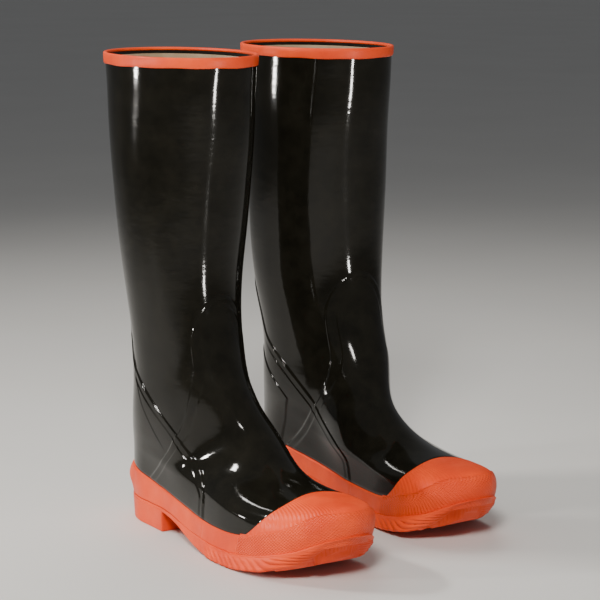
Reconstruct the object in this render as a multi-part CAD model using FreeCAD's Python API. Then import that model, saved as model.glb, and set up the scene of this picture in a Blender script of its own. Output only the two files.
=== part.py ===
"""A pair of knee-high rubber boots, each built as a stack of layers on one last-shaped form.

Every boot is drawn in its own frame first: +Y points to the heel, -Y to the toe, +Z up,
x = 0 on the leg's centre line and z = 0 under the heel. The left boot is the right one
mirrored, and set a little behind it.
"""
import FreeCAD
import Part
import math
import os

os.makedirs("parts", exist_ok=True)
Vec = FreeCAD.Vector

# ------------------------------------------------------------------ driving dimensions, mm
BOOT_HEIGHT = 406.0            # floor to topline: a sixteen inch boot
FEATHER_Z = 22.0               # where the upper meets the sole, behind the ball of the foot
HEEL_BLOCK_H = 17.6            # height of the heel's breast
HEEL_BREAST_Y = -14.0          # the heel block ends here
TREAD_DEPTH = 4.0
SOLE_MARGIN = 5.6              # how far the sole stands out from the upper
TOE_SPRING = 26.0              # how far the toe end of the sole curls up
SPRING_START_Y = -135.0
SPRING_RUN = 110.0
SPRING_POWER = 1.6
SPRING_LIMIT = 1.2             # the curl stops growing this many runs ahead of its start
TOE_IN = 9.0                   # how far the toe's middle turns inwards
RIDGE_IN = 12.0                # and the ridge of the instep
ANKLE_TWIST = 0.105            # sideways lean of the leg's section, per mm ahead of its middle
TOP_TWIST = 0.009
BLEND_Z = 35.0                 # the foot's width starts to turn into the leg's here
BLEND_RUN = 90.0

RUBBER = 1.8                   # black upper
FOAM = 2.4                     # room for the insulation between rubber and lining
FILM = 0.25                    # cement film on each face of the insulation, left clear of the sheets
LINING = 1.0                   # tan knitted lining
FACING = 1.4                   # tan band inside the topline, above the insulation
FACING_DROP = 1.0              # the facing's upper edge lies this far below the topline
OVERLAY = 1.0                  # every extra layer of black rubber on the upper
STAY = 0.9                     # small heel stay on top of the rear overlay
CAP = 1.6                      # ribbed toe cap
FOXING = 2.4                   # band round the foot above the sole
SPUR = 3.6                     # ledge on the back of the foxing, to push the boot off with
SPUR_BITE = 0.4                # how deep the ledge is sunk in the foxing
BINDING = 1.4                  # band round the topline
BINDING_H = 9.0
FOAM_TOP = 350.0               # the insulation stops below the topline
ANKLE_Z = 118.0                # the leg sheet and the foot sheet meet here
FILLER = 5.0                   # midsole filler between the outsole and the insole board
BOARD = 2.2                    # insole board
FOOTBED = 5.0                  # loose felt footbed
BED_GAP = 0.3                  # under the loose footbed, and round the board and filler
BED_SIDE_GAP = 2.5             # between the footbed and the form inside the lining's line
SHANK_SIZE = (18.0, 96.0, 1.5)
SHANK_START_Y = -20.0
SHANK_LIFT = 1.6               # rubber left under the shank
HEEL_CORE_BOX = (36.0, 42.0, 11.0)
HEEL_CORE_AT = (-18.0, -6.0, 6.6)
GROOVE = 5.0                   # width of every tread groove
TREAD_START_Y = -82.0
TREAD_PITCH = 13.5
TREAD_COUNT = 11
TREAD_SLANT = 14.0             # degrees, to the left and right in turn
HEEL_GROOVE_Y = 2.0
HEEL_GROOVE_PITCH = 16.0
HEEL_GROOVE_COUNT = 3

LEFT_PLACE = (164.0, 38.0)     # left boot's origin, seen from the right boot's
LEFT_TURN = 3.0                # degrees, toe outwards
PAIR_CENTRE = (81.95, -57.29)  # centre of the pair's footprint in the right boot's frame

# ------------------------------------------------------------------ the form, right boot
# side outline: (height, y) from the feather line up to the topline
FRONT = ((14, -228), (24, -233), (33, -234), (41, -228), (46, -217), (53, -194), (62, -163),
         (75, -133), (93, -107), (125, -82), (165, -64), (205, -57), (260, -58), (330, -64), (406, -72))
BACK = ((14, 60), (30, 65), (50, 65), (75, 60), (100, 54), (130, 52), (170, 58), (230, 68),
        (310, 76), (406, 85))
# half widths of the foot along y, and of the leg over height
FOOT_OUT = ((-245, 34), (-200, 41), (-160, 44.3), (-120, 43.4), (-50, 35.7), (0, 31.5), (62, 29.8))
FOOT_IN = ((-245, 37.4), (-205, 43.4), (-165, 44.3), (-120, 40), (-50, 30.6), (0, 29), (62, 29.8))
LEG_HALF = ((100, 45.3), (130, 45.3), (170, 48.3), (230, 53.4), (300, 56.5), (406, 57.7))
# how far behind the front outline, and ahead of the back one, the full width is reached
ROUND_IN = ((14, 55), (40, 58), (55, 78), (66, 106), (80, 114), (110, 108), (150, 85), (200, 70), (406, 76))
ROUND_OUT = ((14, 55), (40, 67), (55, 105), (66, 153), (80, 159), (110, 116), (150, 85), (200, 70), (406, 76))
ROUND_BACK = ((14, 38), (60, 42), (100, 50), (170, 60), (406, 76))
BASE_Z = -30.0                 # the form runs on down to here, and is trimmed off along the sole
PLAN_Z = 24.0                  # the sole follows the foot's outline at this height


def smooth(t):
    """Smooth step from 0 to 1."""
    t = min(max(t, 0.0), 1.0)
    return t * t * (3.0 - 2.0 * t)


def bell(value, centre, width):
    return math.exp(-((value - centre) / width) ** 2)


class Spline:
    """Natural cubic spline through (x, value) pairs, flat beyond its ends."""

    def __init__(self, pairs):
        self.x = [float(p[0]) for p in pairs]
        self.v = [float(p[1]) for p in pairs]
        n = len(pairs)
        step = [self.x[i + 1] - self.x[i] for i in range(n - 1)]
        upper = [0.0] * n
        rhs = [0.0] * n
        for i in range(1, n - 1):
            slope = (self.v[i + 1] - self.v[i]) / step[i] - (self.v[i] - self.v[i - 1]) / step[i - 1]
            pivot = 2.0 * (step[i - 1] + step[i]) - step[i - 1] * upper[i - 1]
            upper[i] = step[i] / pivot
            rhs[i] = (6.0 * slope - step[i - 1] * rhs[i - 1]) / pivot
        self.bend = [0.0] * n
        for i in range(n - 2, 0, -1):
            self.bend[i] = rhs[i] - upper[i] * self.bend[i + 1]

    def __call__(self, x):
        x = min(max(x, self.x[0]), self.x[-1])
        i = 0
        while i < len(self.x) - 2 and x > self.x[i + 1]:
            i += 1
        h = self.x[i + 1] - self.x[i]
        a = (self.x[i + 1] - x) / h
        b = (x - self.x[i]) / h
        curve = (a ** 3 - a) * self.bend[i] + (b ** 3 - b) * self.bend[i + 1]
        return a * self.v[i] + b * self.v[i + 1] + curve * h * h / 6.0


foot_out = Spline(FOOT_OUT)
foot_in = Spline(FOOT_IN)
leg_half = Spline(LEG_HALF)
round_in = Spline(ROUND_IN)
round_out = Spline(ROUND_OUT)
round_back = Spline(ROUND_BACK)


def rise(y):
    """How far the toe spring lifts the foot at y."""
    t = min(max((SPRING_START_Y - y) / SPRING_RUN, 0.0), SPRING_LIMIT)
    return TOE_SPRING * t ** SPRING_POWER


def quarter(t):
    """Quarter ellipse from 0 to 1."""
    t = min(max(t, 0.0), 1.0)
    return math.sqrt(1.0 - (1.0 - t) ** 2)


def moved_outline(pairs, inset, side):
    """The side outline moved inwards; side is +1 for the front, -1 for the back."""
    line = Spline(pairs)
    out = []
    for z, y in pairs:
        slope = line(z + 0.5) - line(z - 0.5)
        move = side * inset / math.hypot(slope, 1.0)
        out.append((z - move * slope, y + move))
    return Spline(out)


class Form:
    """The boot's outside, moved inwards by inset."""

    def __init__(self, inset):
        self.inset = inset
        self.true_front = Spline(FRONT)
        self.true_back = Spline(BACK)
        self.front = moved_outline(FRONT, inset, 1.0)
        self.back = moved_outline(BACK, inset, -1.0)

    def half(self, y, z, side):
        """Half width at y and height z (before toe spring); side -1 is the outer side."""
        foot = foot_out(y) if side < 0 else foot_in(y)
        width = foot + (leg_half(z) - foot) * smooth((z - BLEND_Z) / BLEND_RUN) - self.inset
        length = round_out(z) if side < 0 else round_in(z)
        front_run = self.true_front(z) + length - self.front(z)
        back_run = self.back(z) - self.true_back(z) + round_back(z)
        return width * quarter((y - self.front(z)) / front_run) * quarter((self.back(z) - y) / back_run)

    def centre(self, y, z):
        """Centre line: the toes turn inwards, the instep ridge too, and the leg twists a little."""
        toe = TOE_IN * smooth((-y - 90.0) / 150.0)
        ridge = RIDGE_IN * bell(z, 88.0, 32.0) * smooth((-y - 30.0) / 70.0)
        lean = ANKLE_TWIST * bell(z, 200.0, 90.0) + TOP_TWIST * smooth((z - 250.0) / (BOOT_HEIGHT - 250.0))
        return toe + ridge + lean * (y - (self.true_front(z) + self.true_back(z)) / 2.0)

    def section(self, z_back, z_front, steps=18):
        """Closed row of points from the back outline to the front one, curling up with the toe."""
        y_back = self.back(z_back)
        y_front = self.front(z_front)
        curl = smooth((z_back - BASE_Z) / -BASE_Z)
        sides = {-1: [], 1: []}
        for i in range(steps + 1):
            t = (1.0 - math.cos(math.pi * i / steps)) / 2.0
            y = y_back + (y_front - y_back) * t
            z = z_back + (z_front - z_back) * t
            for side in sides:
                half = 0.0 if i in (0, steps) else self.half(y, z, side)
                sides[side].append(Vec(self.centre(y, z) + side * half, y, z + curl * rise(y)))
        return sides[-1] + sides[1][-2:0:-1]

    def plan(self, z, steps=22):
        """Closed row of points round the foot's outline at height z, laid on the floor."""
        near = self.back(z)
        run = self.front(z) - near
        sides = {-1: [], 1: []}
        for i in range(steps + 1):
            y = near + run * (1.0 - math.cos(math.pi * i / steps)) / 2.0
            for side in sides:
                half = 0.0 if i in (0, steps) else self.half(y, z, side)
                sides[side].append(Vec(self.centre(y, z) + side * half, y, 0.0))
        return sides[-1] + sides[1][-2:0:-1]


# ------------------------------------------------------------------ solids
# matching heights on the back and front outlines, up to the topline
LEVEL_KEYS = ((BASE_Z, BASE_Z), (-22, -22), (-14, -14), (-6, -6), (2, 2), (12, 12), (24, 24), (40, 36),
              (54, 42), (62, 46.5), (70, 52), (78, 58), (88, 67), (98, 80), (112, 98), (130, 122),
              (152, 150), (180, 180), (230, 230), (290, 290), (350, 350), (BOOT_HEIGHT, BOOT_HEIGHT))
LEVELS_PER_KEY = 2
OPEN_END = 1.0                 # every hollow runs out of its sheet's ends by this much
FULL_X = 95.0                  # half length of the prisms that trim the layers
SHOE_TOP = 150.0               # pieces of the foot are cut from a form that ends here
OVERLAY_TOP = 230.0            # and those that reach up the leg from one that ends here


def ring(points):
    """Smooth closed wire through a row of points, evenly parametrised."""
    count = len(points)
    curve = Part.BSplineCurve()
    curve.interpolate(Points=points, PeriodicFlag=True, Parameters=[i / count for i in range(count + 1)])
    return Part.Wire([curve.toShape()])


def levels(low, high):
    """Pairs of back and front heights between low and high, both ends level."""
    back = Spline([(i, key[0]) for i, key in enumerate(LEVEL_KEYS)])
    front = Spline([(i, key[1]) for i, key in enumerate(LEVEL_KEYS)])
    count = (len(LEVEL_KEYS) - 1) * LEVELS_PER_KEY
    pairs = [(back(i / LEVELS_PER_KEY), front(i / LEVELS_PER_KEY)) for i in range(count + 1)]
    kept = [p for p in pairs if low + 2.0 < min(p) and max(p) < high - 2.0]
    return [(low, low)] + kept + [(high, high)]


def body(inset, low=BASE_Z, high=BOOT_HEIGHT):
    """The whole boot as one solid, moved inwards by inset, between two heights."""
    form = Form(inset)
    wires = [ring(form.section(back, front)) for back, front in levels(low, high)]
    return Part.makeLoft(wires, True, False, False)


def layer(outer, inner, low=BASE_Z, high=BOOT_HEIGHT):
    """The sheet between two insets, open at both ends."""
    hollow = body(inner, low - OPEN_END, high + OPEN_END)
    return body(outer, low, high).cut(hollow)


def prism(edges):
    """The side view outline made of edges, at x = -FULL_X, drawn out across the boot."""
    return Part.Face(Part.Wire(edges)).extrude(Vec(2.0 * FULL_X, 0, 0))


def side_curve(points):
    """Smooth edge through side view points (y, z)."""
    curve = Part.BSplineCurve()
    curve.interpolate([Vec(-FULL_X, y, z) for y, z in points])
    return curve.toShape()


def side_lines(points):
    """Straight edges through side view points (y, z)."""
    row = [Vec(-FULL_X, y, z) for y, z in points]
    return [Part.makeLine(a, b) for a, b in zip(row, row[1:])]


def sampled(height, y_from, y_to, lift=0.0, step=8.0):
    """Side view points along a height function of y."""
    count = max(int(abs(y_to - y_from) / step), 2)
    rows = [y_from + (y_to - y_from) * i / count for i in range(count + 1)]
    return [(y, height(y) + lift) for y in rows]


def between(low, high, y_from, y_to, low_lift=0.0, high_lift=0.0):
    """Slab between two height functions of y."""
    under = sampled(low, y_from, y_to, low_lift)
    over = sampled(high, y_to, y_from, high_lift)
    joins = side_lines([under[-1], over[0]]) + side_lines([over[-1], under[0]])
    return prism([side_curve(under), joins[0], side_curve(over), joins[1]])


def above(height, y_from, y_to, top):
    """Everything over a height function of y, up to a flat top."""
    under = sampled(height, y_from, y_to)
    return prism([side_curve(under)] + side_lines([under[-1], (y_to, top), (y_from, top), under[0]]))


# ------------------------------------------------------------------ side view lines
feather_flat = Spline(((-110, 14), (-60, 17), (-15, FEATHER_Z), (0, FEATHER_Z)))
under_flat = Spline(((-110, 0), (-92, 0.6), (-62, 7), (-40, 14), (-15, HEEL_BLOCK_H), (0, HEEL_BLOCK_H)))
foxing_flat = Spline(((-158, 30), (-130, 29.5), (-93, 30), (-54, 34), (-16, 39), (16, 43), (60, 50)))
bumper_flat = Spline(((-232, 38), (-218, 40), (-200, 35), (-180, 33), (-158, 30), (-130, 29.5)))
TOE_TUCK = 9.0                 # the sole's underside curls in at the very tip


def feather(y):
    return feather_flat(y) + rise(y)


def underside(y):
    return max(under_flat(y), 0.0) + rise(y) + TOE_TUCK * smooth((-y - 206.0) / 34.0)


def foxing_top(y):
    return foxing_flat(y) + rise(y)


def bumper_top(y):
    return bumper_flat(y) + rise(y)


Y_HEEL = 110.0                 # beyond the heel
Y_TOE = -262.0                 # beyond the toe
CAP_CORNER_Y = -158.0          # the toe cap, bumper and foxing meet here
CAP_REAR = ((-158.0, 30.5), (-168.0, 36.8), (-176.0, 43.5), (-179.8, 50.5), (-177.5, 57.5), (-169.0, 65.0))
COUNTER_EDGE = ((52, 196), (40, 180), (30, 156), (18, 141), (3, 129), (-24, 107), (-42, 91), (-57, 77),
                (-74, 65), (-88, 55), (-93, 42), (-93, 20))
STAY_EDGE = ((70, 150), (40, 133), (23, 119), (6, 104), (-7, 91))
STAY_FRONT = ((-7, 91), (0, 78), (8, 64), (16, 46), (18, 20))
INSTEP_EDGE = ((-64, 140), (-58, 120), (-50, 99), (-40, 87), (-24, 70), (4, 47), (16, 36), (30, 20))
ARCH_HALF = 28.0               # the instep piece runs up the shin as a narrow arch
ARCH_LOW = 125.0
ARCH_SPRING_Z = 166.0
ARCH_TOP = 207.0
ARCH_BACK_Y = -30.0            # the arch lies wholly ahead of this
SPUR_OUTLINE = ((44.0, 30.0), (44.0, 40.0), (100.0, 44.0), (100.0, 33.0), (44.0, 30.0))


def toe_side():
    """Region ahead of the toe cap's rear edge."""
    lines = side_lines([CAP_REAR[-1], (CAP_REAR[-1][0], SHOE_TOP), (Y_TOE, SHOE_TOP), (Y_TOE, BASE_Z),
                        (CAP_CORNER_Y, BASE_Z), CAP_REAR[0]])
    return prism([side_curve(CAP_REAR)] + lines)


def counter_side():
    """Region behind the rear piece's edge."""
    first = COUNTER_EDGE[0]
    last = COUNTER_EDGE[-1]
    lines = side_lines([last, (Y_HEEL, last[1]), (Y_HEEL, first[1]), first])
    return prism([side_curve(COUNTER_EDGE)] + lines)


def stay_side():
    """Region of the small heel stay, behind its bent edge."""
    lines = side_lines([STAY_FRONT[-1], (Y_HEEL, STAY_FRONT[-1][1]), (Y_HEEL, STAY_EDGE[0][1]), STAY_EDGE[0]])
    return prism([side_curve(STAY_EDGE), side_curve(STAY_FRONT)] + lines)


def instep_side():
    """Region of the instep piece: below its slanting edge, and up the arch on the shin."""
    first = INSTEP_EDGE[0]
    last = INSTEP_EDGE[-1]
    lines = side_lines([last, (Y_TOE, last[1]), (Y_TOE, first[1]), first])
    low_part = prism([side_curve(INSTEP_EDGE)] + lines)
    rows = [Vec(-ARCH_HALF, Y_TOE, ARCH_LOW), Vec(-ARCH_HALF, Y_TOE, ARCH_SPRING_Z)]
    rows += [Vec(ARCH_HALF, Y_TOE, ARCH_SPRING_Z), Vec(ARCH_HALF, Y_TOE, ARCH_LOW)]
    curve = Part.BSplineCurve()
    crown = [(-1.0, 0.0), (-0.86, 0.5), (-0.5, 0.83), (0.0, 1.0), (0.5, 0.83), (0.86, 0.5), (1.0, 0.0)]
    high = ARCH_TOP - ARCH_SPRING_Z
    curve.interpolate([Vec(a * ARCH_HALF, Y_TOE, ARCH_SPRING_Z + b * high) for a, b in crown])
    edges = [Part.makeLine(rows[0], rows[1]), curve.toShape(), Part.makeLine(rows[2], rows[3])]
    edges.append(Part.makeLine(rows[3], rows[0]))
    arch = Part.Face(Part.Wire(edges)).extrude(Vec(0, ARCH_BACK_Y - Y_TOE, 0))
    return low_part.fuse(arch)


# ------------------------------------------------------------------ sole unit
def sole_plan(margin):
    """Upright solid of the sole's outline."""
    form = Form(-margin)
    return Part.Face(ring(form.plan(PLAN_Z))).extrude(Vec(0, 0, SHOE_TOP))


def tread_cuts():
    """Slanting grooves under the forefoot and straight ones under the heel."""
    cuts = []
    for i in range(TREAD_COUNT):
        y = TREAD_START_Y - TREAD_PITCH * i
        cut = Part.makeBox(2.0 * FULL_X, GROOVE, 6.0 * TREAD_DEPTH)
        cut.translate(Vec(-FULL_X, -GROOVE / 2.0, -5.0 * TREAD_DEPTH))
        cut.rotate(Vec(0, 0, 0), Vec(0, 0, 1), TREAD_SLANT if i % 2 else -TREAD_SLANT)
        cut.translate(Vec(0, y, underside(y) + TREAD_DEPTH))
        cuts.append(cut)
    for i in range(HEEL_GROOVE_COUNT):
        cut = Part.makeBox(2.0 * FULL_X, GROOVE, 2.0 * TREAD_DEPTH)
        cut.translate(Vec(-FULL_X, HEEL_GROOVE_Y + HEEL_GROOVE_PITCH * i, -TREAD_DEPTH))
        cuts.append(cut)
    return cuts


def sole_unit():
    """Outsole with its heel block, the core in the heel, filler, shank, board and footbed."""
    plate = sole_plan(SOLE_MARGIN).common(between(underside, feather, Y_HEEL, Y_TOE))
    heel_room = Part.makeBox(2.0 * FULL_X, Y_HEEL - HEEL_BREAST_Y, HEEL_BLOCK_H + 1.0)
    heel_room.translate(Vec(-FULL_X, HEEL_BREAST_Y, 0))
    heel = sole_plan(SOLE_MARGIN / 2.0).common(heel_room)
    core = Part.makeBox(*HEEL_CORE_BOX, Vec(*HEEL_CORE_AT))
    outsole = plate.fuse(heel).removeSplitter()
    for cut in tread_cuts():
        outsole = outsole.cut(cut)
    outsole = outsole.cut(core)

    room = body(RUBBER + FOAM + LINING + BED_GAP, high=SHOE_TOP)
    filler = room.common(between(feather, feather, Y_HEEL, Y_TOE, 0.0, FILLER))
    width, length, thick = SHANK_SIZE
    shank = between(feather, feather, SHANK_START_Y, SHANK_START_Y - length, SHANK_LIFT, SHANK_LIFT + thick)
    shank = shank.common(Part.makeBox(width, -Y_TOE, SHOE_TOP, Vec(-width / 2.0, Y_TOE, 0)))
    filler = filler.cut(shank)
    board = room.common(between(feather, feather, Y_HEEL, Y_TOE, FILLER, FILLER + BOARD))
    bed_low = FILLER + BOARD + BED_GAP
    loose = body(RUBBER + FOAM + LINING + BED_SIDE_GAP, high=SHOE_TOP)
    footbed = loose.common(between(feather, feather, Y_HEEL, Y_TOE, bed_low, bed_low + FOOTBED))
    return {"outsole": outsole, "heel_core": core, "midsole_filler": filler, "shank": shank,
            "insole_board": board, "footbed": footbed}


# ------------------------------------------------------------------ upper
def upper():
    """Rubber, insulation and lining, each as a leg sheet and a foot sheet, and the collar's facing."""
    inside = RUBBER + FOAM
    sheets = (("rubber", 0.0, RUBBER, BOOT_HEIGHT),
              ("insulation", RUBBER + FILM, inside - FILM, FOAM_TOP),
              ("lining", inside, inside + LINING, FOAM_TOP))
    foot_room = above(feather, Y_HEEL, Y_TOE, ANKLE_Z)
    parts = {}
    for name, outer, inner, top in sheets:
        parts["leg_" + name] = layer(outer, inner, low=ANKLE_Z, high=top)
        parts["foot_" + name] = layer(outer, inner, high=SHOE_TOP).common(foot_room)
    facing_top = BOOT_HEIGHT - FACING_DROP
    parts["collar_facing"] = layer(RUBBER + FILM, RUBBER + FACING, low=FOAM_TOP, high=facing_top)
    return parts


def overlays():
    """The extra pieces of black rubber: instep piece, rear counter piece and heel stay."""
    sheet = layer(-OVERLAY, 0.0, high=OVERLAY_TOP)
    over_foxing = above(foxing_top, Y_HEEL, Y_TOE, OVERLAY_TOP)
    instep = instep_side()
    instep_piece = sheet.common(instep).common(over_foxing).cut(toe_side())
    counter = sheet.common(counter_side()).common(over_foxing).cut(instep)
    stay_sheet = layer(-OVERLAY - STAY, -OVERLAY, high=OVERLAY_TOP)
    stay = stay_sheet.common(stay_side()).common(over_foxing).cut(instep)
    return {"instep_piece": instep_piece, "counter_piece": counter, "heel_stay": stay}


def red_trims():
    """Foxing with its spur, toe bumper, toe cap and topline binding."""
    band = layer(-FOXING, 0.0, high=SHOE_TOP)
    low_band = band.common(between(feather, foxing_top, Y_HEEL, CAP_CORNER_Y))
    spur = layer(-FOXING - SPUR, -FOXING + SPUR_BITE, high=SHOE_TOP)
    foxing = low_band.fuse(spur.common(prism(side_lines(SPUR_OUTLINE))))
    bumper = band.common(between(feather, bumper_top, CAP_CORNER_Y, Y_TOE))
    over_bumper = above(bumper_top, bumper_flat.x[-1], Y_TOE, SHOE_TOP)
    cap = layer(-CAP, 0.0, high=SHOE_TOP).common(toe_side()).common(over_bumper)
    binding = layer(-BINDING, 0.0, low=BOOT_HEIGHT - BINDING_H)
    return {"foxing": foxing, "toe_bumper": bumper, "toe_cap": cap, "topline_binding": binding}


def on_the_left(shape):
    """The mirrored shape, in the left boot's place."""
    copy = shape.mirror(Vec(0, 0, 0), Vec(1, 0, 0))
    copy.rotate(Vec(0, 0, 0), Vec(0, 0, 1), LEFT_TURN)
    copy.translate(Vec(LEFT_PLACE[0], LEFT_PLACE[1], 0))
    return copy


def main():
    pieces = {}
    pieces.update(sole_unit())
    pieces.update(upper())
    pieces.update(overlays())
    pieces.update(red_trims())
    for name, shape in pieces.items():
        for side, placed in (("right", shape.copy()), ("left", on_the_left(shape))):
            placed.translate(Vec(-PAIR_CENTRE[0], -PAIR_CENTRE[1], 0))
            solids = placed.Solids
            whole = solids[0] if len(solids) == 1 else Part.makeCompound(solids)
            whole.exportStep("parts/" + side + "_" + name + ".step")
            size = whole.BoundBox
            print(side, name, len(solids), whole.isValid(), round(whole.Volume / 1000.0, 2), "cm3",
                  [round(v, 1) for v in (size.XMin, size.YMin, size.ZMin, size.XMax, size.YMax, size.ZMax)])


main()
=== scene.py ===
"""Looks for a pair of knee-high rubber boots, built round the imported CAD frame.

Each boot is drawn once in its own frame, in millimetres: +Y to the heel, -Y to the toe, x = 0 on
the leg's centre line, z = 0 under the heel. The left boot is the right one mirrored. Where the two
boots stand comes from their heel cores in the frame.
"""
import math

import bmesh
import bpy
import numpy as np
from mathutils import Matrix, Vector


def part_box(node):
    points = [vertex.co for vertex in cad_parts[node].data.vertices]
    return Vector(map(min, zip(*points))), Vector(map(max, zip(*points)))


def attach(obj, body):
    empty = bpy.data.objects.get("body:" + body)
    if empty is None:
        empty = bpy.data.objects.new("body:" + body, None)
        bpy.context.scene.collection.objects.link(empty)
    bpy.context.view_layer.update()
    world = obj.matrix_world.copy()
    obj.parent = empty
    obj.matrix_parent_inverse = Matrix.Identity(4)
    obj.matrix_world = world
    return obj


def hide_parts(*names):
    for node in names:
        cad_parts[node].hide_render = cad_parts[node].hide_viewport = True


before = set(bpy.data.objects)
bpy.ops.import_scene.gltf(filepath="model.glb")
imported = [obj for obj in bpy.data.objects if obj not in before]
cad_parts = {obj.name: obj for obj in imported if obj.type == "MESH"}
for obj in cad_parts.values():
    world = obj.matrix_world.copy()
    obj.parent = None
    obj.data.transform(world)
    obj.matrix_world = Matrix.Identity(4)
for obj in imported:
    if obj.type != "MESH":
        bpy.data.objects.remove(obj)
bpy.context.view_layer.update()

MM = 0.001

# ------------------------------------------------------------------ the boot's sizes, mm
BOOT_HEIGHT = 406.0
TOE_SPRING = 26.0              # how far the toe end of the sole curls up
SPRING_START_Y = -135.0
SPRING_RUN = 110.0
SPRING_POWER = 1.6
SPRING_EASE = 0.003            # how softly the curl starts
SPRING_LIMIT = 1.2
RUBBER = 1.8                   # black upper
FOAM = 2.4                     # room between the rubber and the lining, which the insulation fills
LINING = 1.0
FOAM_TOP = 350.0               # the insulation stops below the topline
FACING_STEP_Z = FOAM_TOP + 22.0   # here the lining has moved out to the rubber
FACING_STEP_RUN = 20.0
OVERLAY = 1.0                  # every extra layer of black rubber
SEAM_WIDTH = 1.5               # how far an overlay's edge takes to drop
STAY = 0.8                     # small heel stay on top of the rear overlay
LINE_STEP = 0.35               # low edge that a strip under the rubber leaves on the outer side
STEP_IN = 0.45                 # second, lower step inside an overlay's edge
UNDER_BANDS = 0.9              # the rubber's height under the foxing, where no edge shows
CAP = 1.6                      # ribbed toe cap
CAP_CORNER = 2.02              # angle of the toe cap's outer corner, and of the inner one mirrored
RIBS = 60                      # over the whole toe cap, from side to side
RIB_HEIGHT = 0.32
FOXING = 2.4                   # band round the foot above the sole
BUMPER = 2.9                   # band round the toe below the cap
SUNK = 0.4                     # how deep the back of a band is sunk in the upper
SPUR = 3.6                     # ledge at the back of the foxing
SPUR_Z = 37.0
BINDING = 1.4                  # band round the topline
BINDING_H = 9.0
SOLE_MARGIN = 3.9              # how far the sole stands out from the upper at the forefoot
HEEL_MARGIN = 2.7              # and at the waist and heel, flush with the foxing
HEEL_BLOCK_H = 17.6
HEEL_BREAST_Y = -14.0
TREAD_DEPTH = 4.0
FOOTBED = 5.0                  # loose felt footbed
BED_LOW = 7.5                  # its underside, above the feather line
BED_SIDE_GAP = 2.5
CORE_MIDDLE_Y = 15.0           # the heel core's middle lies this far behind the boot's origin
LEFT_TURN = math.radians(3.0)  # the left boot toes out

TOE_IN = 9.0                   # the centre line turns inwards at the toe
RIDGE_IN = 12.0                # and at the ridge of the instep
ANKLE_TWIST = 0.105            # sideways lean of the leg's section, per mm ahead of its middle
TOP_TWIST = 0.009
BLEND_Z = 35.0                 # the foot's width starts to turn into the leg's here
BLEND_RUN = 90.0
PLAN_Z = 24.0                  # height at which the sole's outline is taken

GROOVE_START_Y = -82.0         # rearmost groove of the forefoot
GROOVE_STEP = 13.5
GROOVES = 11
GROOVE_SLANT = math.tan(math.radians(14.0))
HEEL_GROOVE_Y = 4.5
HEEL_GROOVE_STEP = 16.0
HEEL_GROOVES = 3
GROOVE_HALF = 3.1
GROOVE_EDGE = 1.4
LUG_PITCH = 8.2                # slanting lugs round the edge of the forefoot
LUG_HEIGHT = 1.9
LUG_SUNK = 0.9
TIP_BEVEL = 13.0               # how far the edge draws in under the very tip
LEAST_SOLE = 0.8               # least thickness at the tip

# side outline: (height, y) from the feather line up to the topline
FRONT = ((14, -228), (24, -233), (33, -234), (41, -228), (46, -217), (53, -194), (62, -163), (75, -133),
         (93, -107), (125, -82), (165, -64), (205, -57), (260, -58), (330, -64), (406, -72))
BACK = ((14, 60), (30, 65), (50, 65), (75, 60), (100, 54), (130, 52), (170, 58), (230, 68), (310, 76),
        (406, 85))
# half widths of the foot along y, and of the leg over height
FOOT_OUT = ((-245, 34), (-200, 41), (-160, 44.3), (-120, 43.4), (-50, 35.7), (0, 31.5), (62, 29.8))
FOOT_IN = ((-245, 37.4), (-205, 43.4), (-165, 44.3), (-120, 40), (-50, 30.6), (0, 29), (62, 29.8))
LEG_HALF = ((100, 45.3), (130, 45.3), (170, 48.3), (230, 53.4), (300, 56.5), (406, 57.7))
# how far behind the front outline, and ahead of the back one, the full width is reached
ROUND_IN = ((14, 55), (40, 58), (55, 78), (66, 106), (80, 114), (110, 108), (150, 85), (200, 70),
            (406, 76))
ROUND_OUT = ((14, 55), (40, 67), (55, 105), (66, 153), (80, 159), (110, 116), (150, 85), (200, 70),
             (406, 76))
ROUND_BACK = ((14, 38), (60, 42), (100, 50), (170, 60), (406, 76))
# matching heights on the back and front outlines; a level counts these pairs
LEVEL_KEYS = ((-30, -30), (-22, -22), (-14, -14), (-6, -6), (2, 2), (12, 12), (24, 24), (40, 36), (54, 42),
              (62, 46.5), (70, 52), (78, 58), (88, 67), (98, 80), (112, 98), (130, 122), (152, 150),
              (180, 180), (230, 230), (290, 290), (350, 350), (406, 406))
TOP_LEVEL = len(LEVEL_KEYS) - 1

# side view lines (y, height)
FEATHER = ((-110, 14), (-60, 17), (-15, 22), (0, 22))
UNDERSIDE = ((-110, 0), (-92, 0.6), (-62, 7), (-40, 14), (-15, 17.6), (0, 17.6))
FOXING_TOP = ((-158, 30), (-130, 29.5), (-93, 30), (-54, 34), (-16, 39), (16, 43), (60, 50))
BUMPER_TOP = ((-232, 38), (-218, 40), (-200, 35), (-180, 33), (-158, 30), (-130, 29.5))
CAP_REAR = ((-158, 30.5), (-168, 36.8), (-176, 43.5), (-179.8, 50.5), (-177.5, 57.5), (-169, 65))
COUNTER_EDGE = ((52, 196), (40, 180), (30, 156), (18, 141), (3, 129), (-24, 107), (-42, 91), (-57, 77),
                (-74, 65), (-88, 55), (-93, 42), (-93, 10))
STAY_EDGE = ((70, 150), (40, 133), (23, 119), (6, 104), (-7, 91))
STAY_FRONT = ((-7, 91), (0, 78), (8, 64), (16, 46), (18, 10))
LINE_OUT = ((34, 166), (15, 135), (3.5, 113.6), (-4, 101), (-10, 90), (-16, 81.5), (-23, 73), (-34, 60))
INSTEP_EDGE = ((-64, 140), (-58, 120), (-50, 99), (-40, 87), (-24, 70), (4, 47), (16, 36), (30, 10))
ARCH_HALF = 28.0               # the instep piece runs up the shin as a narrow arch
ARCH_SPRING_Z = 166.0
ARCH_TOP = 207.0

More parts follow.
